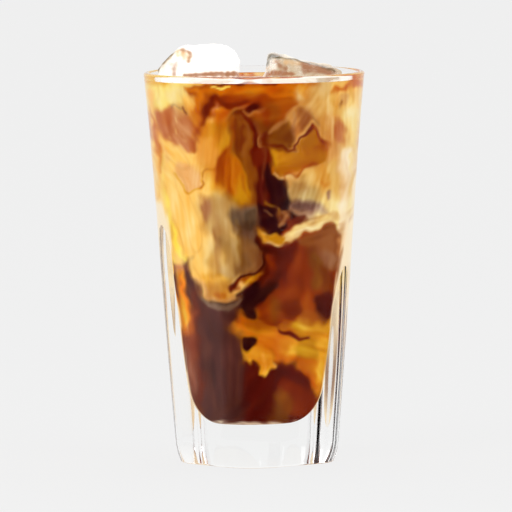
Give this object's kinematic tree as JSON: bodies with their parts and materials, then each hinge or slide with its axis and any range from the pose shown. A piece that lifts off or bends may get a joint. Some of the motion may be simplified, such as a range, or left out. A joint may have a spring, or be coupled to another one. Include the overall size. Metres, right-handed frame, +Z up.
{
  "type": "iced latte in a tumbler",
  "caption": "Tall tumbler with a round rim and a thick rounded square foot, filled with milk-marbled iced coffee, with ice blocks standing above the drink.",
  "frame": {"origin": "middle of the foot's underside, where the glass rests", "axes": "+Z up along the glass's axis, -Y towards the viewer of the shown side, +X to that viewer's right"},
  "size_m": [0.0828, 0.0828, 0.1566],
  "materials": {
    "glass": "clear, polished, thick at the base",
    "drink": "wet, coffee marbled with milk from near black through orange brown to cream",
    "ice": "wet clear ice with cloudy white parts"
  },
  "bodies": {
    "root": {"glass": "glass", "drink": "drink", "ice_left": "ice", "ice_right": "ice"}
  },
  "joints": []
}
